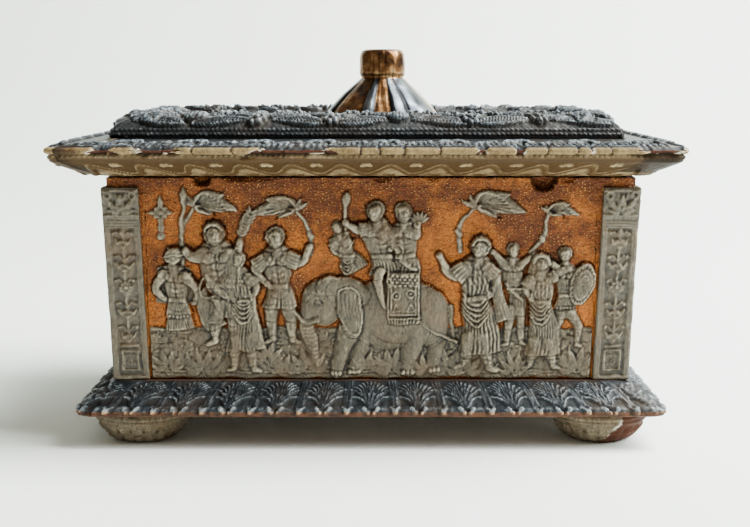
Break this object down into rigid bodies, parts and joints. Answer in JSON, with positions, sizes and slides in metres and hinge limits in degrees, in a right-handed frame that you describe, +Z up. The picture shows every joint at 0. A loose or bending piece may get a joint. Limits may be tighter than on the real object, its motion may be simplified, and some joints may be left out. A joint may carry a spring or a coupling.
{
  "type": "reliquary casket",
  "caption": "Small rectangular casket on bun feet, with relief-covered walls, corner pilasters, leaf-carved plinth and a lift-off moulded lid with a fluted knob.",
  "frame": {"origin": "on the ground under the middle of the casket", "axes": "+X along the casket to its right, +Y to its back, +Z up; the front faces -Y"},
  "size_m": [0.2, 0.146, 0.1281],
  "materials": {
    "gilt_ground": "gilded and punched ground, worn, with cast grey reliefs",
    "grey_paste": "matt warm grey cast paste on wood",
    "blue_black_glaze": "blue-black varnished paste with rubbed grey highlights",
    "cream_cove": "cream paste, cracked and chipped along the lip",
    "knob_gilding": "worn gilding with blue-silver ribs"
  },
  "bodies": {
    "root": {"plinth": "blue_black_glaze", "lid_board": "cream_cove", "lid_knob": "knob_gilding", "foot_front_left": "grey_paste", "foot_front_right": "grey_paste", "foot_back_left": "grey_paste", "foot_back_right": "grey_paste", "front_wall": "gilt_ground", "front_pilaster_left": "grey_paste", "front_pilaster_right": "grey_paste", "lid_garland_front": "blue_black_glaze", "right_wall": "gilt_ground", "right_pilaster_left": "grey_paste", "right_pilaster_right": "grey_paste", "lid_garland_right": "blue_black_glaze", "back_wall": "gilt_ground", "back_pilaster_left": "grey_paste", "back_pilaster_right": "grey_paste", "lid_garland_back": "blue_black_glaze", "left_wall": "gilt_ground", "left_pilaster_left": "grey_paste", "left_pilaster_right": "grey_paste", "lid_garland_left": "blue_black_glaze"}
  },
  "joints": []
}
